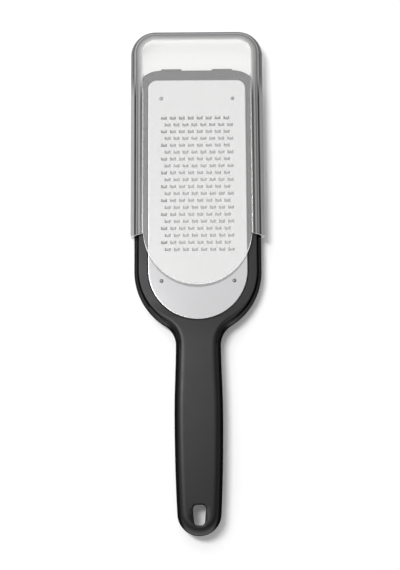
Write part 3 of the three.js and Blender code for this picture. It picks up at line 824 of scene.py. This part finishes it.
class GRATER_OT_plate(bpy.types.Operator):
    """Builds the stainless plate with its rows of curled teeth"""

    bl_idname = "grater.plate"
    bl_label = "Toothed plate"

    def execute(self, context):
        size = context.scene.grater_plate
        steel = rolled_stainless_steel(size.steel, size.bright_steel, size.dull_lightened_steel)
        low, edge = size.top - size.thickness, size.edge
        levels = [
            (0, low), (0, size.top - edge), (0.3 * edge, size.top - 0.3 * edge), (edge, size.top),
            (size.burnish, size.top),
        ]
        plate = make_object("toothed_plate", *stack_levels(plate_outline(size, 0), levels))
        run_tree(plate, teeth_tree(), {
            "Columns": size.columns, "Rows": size.rows, "First Row": BUTT + size.first_row,
            "Pitch": size.pitch, "Row Pitch": size.row_pitch, "Stagger": size.stagger,
            "Top": size.top, "Thickness": size.thickness,
            "Slot Width": size.slot_width, "Slot Length": size.slot_length,
            "Tooth Width": size.tooth_width, "Tooth Reach": size.tooth_reach,
            "Tooth Rise": size.tooth_rise, "Tooth Edge": size.tooth_edge, "Material": steel,
        })
        smooth(plate)
        self.mark_edge(plate.data, size)
        settle(plate, "grater", "steel_plate", "grating_plate")
        return {"FINISHED"}

    def mark_edge(self, mesh, size):
        """Marks the burnished band along the sheet's edge, whose lighter tint also paints the bright line of
        a highlight there.
        """
        burnish_and_highlight = mesh.attributes.new("burnish_and_highlight", "FLOAT", "FACE").data
        for face in mesh.polygons:
            x, y = abs(face.center.x), face.center.y - BUTT
            out = x if y > size.centre else hypot(x, size.centre - y)
            inset = min(size.half_width - out, size.tip - y)
            corner = x - (size.half_width - size.corner), y - (size.tip - size.corner)
            if min(corner) > 0:
                inset = size.corner - hypot(*corner)
            burnish_and_highlight[face.index].value = float(inset < size.burnish)


def rivets_tree():
    """Sets a domed rivet head at each of the plate's four fastening points."""
    tree, add, given, end = start_tree(
        "Plate rivets", ("Offset", "Rear", "Front", "Top", "Radius", "Height"))
    index = add("GeometryNodeInputIndex")
    side = add(MATH, (add(MATH, (index, 2.0), operation="MODULO"), 2.0, -1.0), operation="MULTIPLY_ADD")
    row = add(MATH, (add(MATH, (index, 2.0), operation="DIVIDE"),), operation="FLOOR")
    gap = add(MATH, (given["Front"], given["Rear"]), operation="SUBTRACT")
    x = add(MATH, (side, given["Offset"]), operation="MULTIPLY")
    y = add(MATH, (row, gap, given["Rear"]), operation="MULTIPLY_ADD")
    places = add("GeometryNodePoints", {"Count": 4, "Position": add(JOIN_XYZ, (x, y, given["Top"]))})

    # a head falls off steeply to its rim, and is rooted in the plate
    root, sink = 0.1 * MM, 0.02 * MM
    blank = add("GeometryNodeMeshCylinder", {
        "Vertices": 32, "Fill Segments": 8, "Radius": given["Radius"], "Depth": 1.0,
    }, fill_type="TRIANGLE_FAN")
    place = add(SPLIT_XYZ, (add("GeometryNodeInputPosition"),)).outputs
    flat = add(JOIN_XYZ, (place["X"], place["Y"]))
    out = add("ShaderNodeVectorMath", (flat,), operation="LENGTH").outputs["Value"]
    fall = add(MATH, (add(MATH, (out, given["Radius"]), operation="DIVIDE"), 4.0), operation="POWER")
    dome = add(MATH, (given["Height"], add(MATH, (1.0, fall), operation="SUBTRACT")), operation="MULTIPLY")
    upper = add(MATH, (place["Z"], 0.5), operation="ADD")
    lift = add(MATH, (upper, root, -root - sink), operation="MULTIPLY_ADD")
    z = add(MATH, (dome, upper, lift), operation="MULTIPLY_ADD")
    head = add("GeometryNodeSetPosition", {
        "Geometry": blank, "Position": add(JOIN_XYZ, (place["X"], place["Y"], z))})
    heads = add("GeometryNodeInstanceOnPoints", {"Points": places, "Instance": head})
    finish_tree(add, heads, given["Material"], end)
    return tree


class GRATER_OT_rivets(bpy.types.Operator):
    """Sets the four rivets that hold the plate"""

    bl_idname = "grater.rivets"
    bl_label = "Plate rivets"

    def execute(self, context):
        size = context.scene.grater_plate
        rivets = make_object("plate_rivets", [], [])
        run_tree(rivets, rivets_tree(), {
            "Offset": size.rivet_x, "Rear": BUTT + size.rivet_rear, "Front": BUTT + size.rivet_front,
            "Top": size.top, "Radius": size.rivet_radius, "Height": size.rivet_head,
            "Material": dull_rivet_steel(size.rivet_steel),
        })
        smooth(rivets, radians(60))
        settle(
            rivets, "grater", "steel_rivet", "plate_rivet_front_left", "plate_rivet_front_right",
            "plate_rivet_rear_left", "plate_rivet_rear_right")
        return {"FINISHED"}


class GRATER_OT_feet(bpy.types.Operator):
    """Builds the two rubber feet under the tip"""

    bl_idname = "grater.feet"
    bl_label = "Rubber feet"

    def execute(self, context):
        size = context.scene.grater_handle
        blocks = []
        for side in (-1, 1):
            x, reach = side * size.foot_x, size.foot_width / 2
            low = (x - reach, size.tip - size.foot_depth, 0)
            high = (x + reach, size.tip + size.foot_proud, size.foot_height)
            blocks.append(box_points(low, high))
        feet = make_object("rubber_feet", *join_skins(*blocks), soft_rubber(size.rubber))
        soften = feet.modifiers.new("Soften", "BEVEL")
        soften.width = size.foot_edge
        soften.segments = 4
        bake(feet)
        smooth(feet)
        settle(feet, "grater", "rubber_foot", "front_foot_left", "front_foot_right")
        return {"FINISHED"}


def cover_lid(size):
    """Points and faces of the cover's lid: a panel with rounded shoulders and two lipped rails."""
    rails_end = size.front - size.corner
    path = [(size.half_width, size.rear)]
    path += straight(path[0], (size.half_width, rails_end), 24)
    path += arc((size.half_width - size.corner, rails_end), size.corner, 0, pi / 2, 28)
    path = tidy_half(path)

    radius, hollow, chamfer = size.edge_radius, size.edge_radius - size.wall, size.chamfer
    shoulder, under = size.top - size.step, size.top - size.panel
    panel_edge = radius + size.step
    steps = 32
    curve = [i / steps * pi / 2 for i in range(steps + 1)]
    outer = [(chamfer, size.low), (0.3 * chamfer, size.low + 0.3 * chamfer), (0, size.low + chamfer)]
    outer += [(radius * (1 - cos(t)), shoulder - radius * (1 - sin(t))) for t in curve]
    outer.append((panel_edge, size.top))

    def inner_at(y):
        lip_in = size.wall + size.lip * (1 - smoothstep(y, rails_end - size.lip_fade, rails_end))
        lip_top = size.low + size.lip_height
        section = [(lip_in, size.low), (lip_in, lip_top), (size.wall, lip_top)]
        section += [(size.wall + hollow * (1 - cos(t)), under - hollow * (1 - sin(t))) for t in curve]
        return section + [(panel_edge, under)]

    def rail_end(inset):
        """How far a rail's end lies behind the start of the tongue, at that distance from its outer side."""
        back = size.slant * (1 - inset / panel_edge)
        short = max(0.0, size.rail_corner - inset)
        return back - size.rail_corner + sqrt(size.rail_corner ** 2 - short ** 2)

    right = []
    for i, ((x, y), (nx, ny)) in enumerate(zip(path, outward_normals(path))):
        section = outer + inner_at(y)
        back = [rail_end(inset) if i == 0 else 0.0 for inset, z in section]
        right.append([(x - nx * inset, y - ny * inset - b, z) for (inset, z), b in zip(section, back)])
    columns = right + [[(-x, y, z) for x, y, z in column] for column in reversed(right)]
    tall, edge, count = len(columns[0]), len(outer), len(columns)
    faces = []
    for c in range(count - 1):
        here, there = c * tall, (c + 1) * tall
        for j in range(tall - 1):
            if j != edge - 1:
                faces.append((here + j, there + j, there + j + 1, here + j + 1))
        faces.append((here, here + edge, there + edge, there))
    for level in (edge - 1, tall - 1):
        for i in range(len(path) - 1):
            rung = (i, i + 1, count - 2 - i, count - 1 - i)
            faces.append([c * tall + level for c in rung])
    for c in (0, count - 1):
        loop = [*range(edge), *range(tall - 1, edge - 1, -1)]
        faces.append([c * tall + j for j in loop])
    return [place for column in columns for place in column], faces


def cover_tongue(size):
    """Points and faces of the round tongue that carries the panel on behind the rails.

    Its moulded edge starts from nothing at both ends, and its underside has a border along the edge.
    """
    reach, steps, grow_steps = size.tongue + size.setback, 48, 6
    start = asin(size.setback / reach)
    wide = (size.half_width - size.edge_radius - size.step) / cos(start)
    verts, faces = [], []
    for i in range(2 * steps + 1):
        turn = -start - (pi - 2 * start) * i / (2 * steps)
        out = (cos(turn), sin(turn))
        grown = min(1.0, i / grow_steps, (2 * steps - i) / grow_steps)
        round_off, border = size.edge * grown, (size.edge + size.border) * grown
        profile = [(border, 0.0), (round_off, 0.0), (0.3 * round_off, 0.3 * round_off), (0.0, round_off)]
        ring = [(inset, size.top - drop) for inset, drop in profile[1:]]
        ring += [(inset, size.top - size.panel + drop) for inset, drop in reversed(profile)]
        x, y = wide * out[0], size.rear + size.setback + reach * out[1]
        verts += [(x - out[0] * inset, y - out[1] * inset, z) for inset, z in ring]
    levels = len(ring)
    for i in range(2 * steps):
        here, there = i * levels, (i + 1) * levels
        for j in range(levels - 1):
            faces.append((here + j, there + j, there + j + 1, here + j + 1))
    for level in (0, levels - 1):
        for i in range(steps):
            rung = dict.fromkeys((i, i + 1, 2 * steps - i - 1, 2 * steps - i))
            faces.append([k * levels + level for k in rung])
    return verts, faces


# Painted lines along the cover's edge stand in for its wall, the shade in its gap to the frame and the ribs
# of its shoulder:
# how far in each one ends, in millimetres, and how light it is painted, beside the frame and in front of it.
PAINTED_RAIL_LINES = ((2.2, 0.38), (3.2, 0.02), (3.75, 0.3), (4.4, 0.12), (5.3, 0.36), (6.65, 0.08))
PAINTED_FRONT_LINES = ((1.3, 0.16), (2.1, 0.06), (3.0, 0.3), (3.9, 0.14), (4.8, 0.27), (5.7, 0.34), (6.65, 0.45))

# How frosted the step round the panel is, and how much of the light that falls straight through
# is lost in the tongue's border and in the shoulders beside the frame.
STEP_FROST, BORDER_DIM, SHOULDER_DIM = 0.4, 0.38, 0.6


def tone_at(lines, inset):
    """How light the painted lines make a shoulder at that distance from the cover's side."""
    return next((light for end, light in lines if inset < end * MM), lines[-1][1])


class GRATER_OT_cover(bpy.types.Operator):
    """Builds the clear cover that slides on the guide flanges"""

    bl_idname = "grater.cover"
    bl_label = "Clear cover"

    def execute(self, context):
        size = context.scene.grater_cover
        skin = join_skins(cover_lid(size), cover_tongue(size))
        cover = make_object("clear_cover", *skin, clear_plastic(size.plastic))
        self.mark_edges(cover.data, size)
        smooth(cover)
        settle(cover, "cover", "clear_cover", "protective_cover")
        return {"FINISHED"}

    def mark_edges(self, mesh, size):
        """Marks the painted lines on the shoulders, and the frosted edges of the panel, the tongue and the
        rails.
        """
        corner = (size.half_width - size.corner, size.front - size.corner)

        def inset_of(place):
            x, y = abs(place.x), place.y - BUTT
            if x > corner[0] and y > corner[1]:
                return size.corner - hypot(x - corner[0], y - corner[1])
            return min(size.half_width - x, size.front - y)

        def ahead_of(place):
            return smoothstep(place.y - BUTT, size.lines_change, size.lines_front)

        # painted shade and painted reflection: each point of the edge gets the grey of its painted line
        painted_tone = mesh.attributes.new("painted_tone", "FLOAT", "POINT").data
        for vert in mesh.vertices:
            beside, ahead = (tone_at(lines, inset_of(vert.co)) for lines in (PAINTED_RAIL_LINES, PAINTED_FRONT_LINES))
            painted_tone[vert.index].value = beside + (ahead - beside) * ahead_of(vert.co)
        painted_shoulder, frost, dim = (
            mesh.attributes.new(name, "FLOAT", "FACE").data for name in ("painted_shoulder", "frost", "dim"))
        for face in mesh.polygons:
            place, tilt = face.center, face.normal.z
            inset, beside = inset_of(place), 1 - ahead_of(place)
            outside, upright = tilt > 0.03, abs(tilt) < 0.97
            on_shoulder = outside and inset < PAINTED_RAIL_LINES[-1][0] * MM
            on_step = outside and not on_shoulder and inset < size.edge_radius + size.step
            behind = place.y - BUTT < size.rear + 10 * CLOSE
            narrow = face.area < 3 * MM * MM  # the ring along the tongue's edge, not the rungs across it
            on_border = behind and narrow and place.z < size.top - 0.7 * size.panel
            painted_shoulder[face.index].value = float(on_shoulder)
            frost[face.index].value = float(behind and upright) or STEP_FROST * on_step * beside
            dim[face.index].value = BORDER_DIM * on_border or SHOULDER_DIM * on_shoulder * beside


# Softboxes: name, place, aim and size in metres, and power in watts.
SOFTBOXES = (
    ("overhead_softbox", (-0.25, 0.6, 1.1), (-0.25, 0.6, 0.0), (1.1, 1.0), 6.5),
    ("key_softbox", (-0.31, 0.15, 1.18), (0.0, 0.0, 0.0), (0.16, 0.36), 9.2),
    ("side_strip", (-0.75, 0.0, 0.75), (0.0, 0.0, 0.0), (1.2, 0.12), 0.6),
)
# The sky's level all round, and its glows over the tip's side and low in front of the butt:
# where each one lies, how tightly it gathers there, and how strong it is.
SKY_LEVEL = 0.03
SKY_GLOWS = (((-0.35, 0.25, 0.9), 1.5, 0.17), ((-0.15, -0.93, 0.35), 4.0, 1.0))
# Metal and glass show white walls, which fade out between these sines of the elevation.
WALL_SPAN = (0.66, 0.84)


class GRATER_OT_stage(bpy.types.Operator):
    """Sets the pale floor, the soft studio light and the camera"""

    bl_idname = "grater.stage"
    bl_label = "Stage"

    def execute(self, context):
        scene = context.scene
        stage = scene.grater_stage
        self.add_floor(stage)
        self.add_sky(scene)
        for softbox in SOFTBOXES:
            self.add_softbox(scene, *softbox)
        self.add_camera(scene, stage)
        scene.view_settings.view_transform = "Standard"
        return {"FINISHED"}

    def add_floor(self, stage):
        """A pale floor that is white to the camera, metal and glass, and keeps the grater's shadow."""
        material, shader, add = start_material("pale_floor", stage.floor)
        fill(shader, {"Roughness": 1.0, "Specular IOR Level": 0.0})
        path = add("ShaderNodeLightPath").outputs
        seen = add(MATH, (path["Is Camera Ray"], path["Is Glossy Ray"]), operation="MAXIMUM")
        seen = add(MATH, (seen, path["Is Transmission Ray"]), operation="MAXIMUM")
        place = add("ShaderNodeTexCoord").outputs["Object"]
        away = add("ShaderNodeVectorMath", (place,), operation="LENGTH").outputs["Value"]
        own = add(RANGE, (away, stage.floor_near, stage.floor_far, stage.floor_glow, 1.0))
        glow = add("ShaderNodeEmission", {"Strength": add(MATH, (seen, own), operation="MULTIPLY")})
        both = add("ShaderNodeAddShader", (shader, glow))
        fill(material.node_tree.nodes["Material Output"], {"Surface": both})
        reach, low = stage.floor_reach, FLOOR - 10 * CLOSE
        corners = [(-reach, -reach, low), (reach, -reach, low), (reach, reach, low), (-reach, reach, low)]
        floor = make_object("studio_floor", corners, [(0, 1, 2, 3)], material)

    def add_sky(self, scene):
        """Soft light from all round, with two glows. The camera sees white, metal and glass white walls."""
        world = bpy.data.worlds.new("studio")
        world.use_nodes = True
        add = partial(add_node, world.node_tree)
        direction = add("ShaderNodeTexCoord").outputs["Generated"]
        level = SKY_LEVEL
        for place, gathered, strength in SKY_GLOWS:
            axis = Vector(place).normalized()
            facing = add("ShaderNodeVectorMath", (direction, axis), operation="DOT_PRODUCT").outputs["Value"]
            glow = add(MATH, (facing, 0.0), operation="MAXIMUM")
            glow = add(MATH, (glow, gathered), operation="POWER")
            level = add(MATH, (glow, strength, level), operation="MULTIPLY_ADD")
        path = add("ShaderNodeLightPath").outputs
        bright = add(MATH, (path["Is Glossy Ray"], path["Is Transmission Ray"]), operation="MAXIMUM")
        walls = add(RANGE, (add(SPLIT_XYZ, (direction,)).outputs["Z"], *WALL_SPAN, 1.0, 0.0))
        bright = add(MATH, (bright, walls), operation="MULTIPLY")
        seen = add(MATH, (path["Is Camera Ray"], bright), operation="MAXIMUM")
        fill(world.node_tree.nodes["Background"], {
            "Color": (1.0, 1.0, 1.0, 1.0), "Strength": add(MATH, (level, seen), operation="MAXIMUM")})
        scene.world = world

    def add_softbox(self, scene, name, place, aim, size, watts):
        """A softbox that faces a point."""
        lamp = bpy.data.lights.new(name, "AREA")
        lamp.shape = "RECTANGLE"
        lamp.size, lamp.size_y = size
        lamp.energy = watts
        softbox = bpy.data.objects.new(name, lamp)
        softbox.location = place
        softbox.rotation_euler = (Vector(place) - Vector(aim)).to_track_quat("Z", "Y").to_euler()
        scene.collection.objects.link(softbox)

    def add_camera(self, scene, stage):
        """A long lens over the grip that looks down the grater, as in the photograph."""
        lens = bpy.data.cameras.new("camera")
        lens.sensor_fit = "VERTICAL"
        lens.sensor_height = 36.0
        lens.lens = stage.lens
        camera = bpy.data.objects.new("camera", lens)
        turn = Matrix.Rotation(stage.pan, 4, "Z") @ Matrix.Rotation(stage.tilt, 4, "X")
        turn = turn @ Matrix.Rotation(stage.roll, 4, "Z")
        camera.matrix_world = Matrix.Translation(stage.place + Vector((0, BUTT, 0))) @ turn
        scene.collection.objects.link(camera)
        scene.camera = camera


class GRATER_PT_sidebar(bpy.types.Panel):
    """Lists the grater's pieces and their sizes in the sidebar"""

    bl_label = "Fine grater"
    bl_space_type = "VIEW_3D"
    bl_region_type = "UI"
    bl_category = "Grater"

    def draw(self, context):
        for operator in OPERATORS:
            self.layout.operator(operator.bl_idname)
        for name in GROUPS:
            column = self.layout.column(align=True)
            group = getattr(context.scene, name)
            for key in group.__annotations__:
                column.prop(group, key)


GROUPS = {
    "grater_handle": HandleSizes,
    "grater_plate": PlateSizes,
    "grater_cover": CoverSizes,
    "grater_stage": StageSettings,
}
OPERATORS = (
    GRATER_OT_handle, GRATER_OT_plate, GRATER_OT_rivets, GRATER_OT_feet, GRATER_OT_cover, GRATER_OT_stage,
)
CLASSES = (*GROUPS.values(), *OPERATORS, GRATER_PT_sidebar)


def register():
    for cls in CLASSES:
        bpy.utils.register_class(cls)
    for name, group in GROUPS.items():
        setattr(bpy.types.Scene, name, bpy.props.PointerProperty(type=group))


def unregister():
    for name in GROUPS:
        delattr(bpy.types.Scene, name)
    for cls in reversed(CLASSES):
        bpy.utils.unregister_class(cls)


def main():
    register()
    bpy.ops.grater.handle()
    bpy.ops.grater.plate()
    bpy.ops.grater.rivets()
    bpy.ops.grater.feet()
    bpy.ops.grater.cover()
    bpy.ops.grater.stage()


if __name__ == "__main__":
    main()
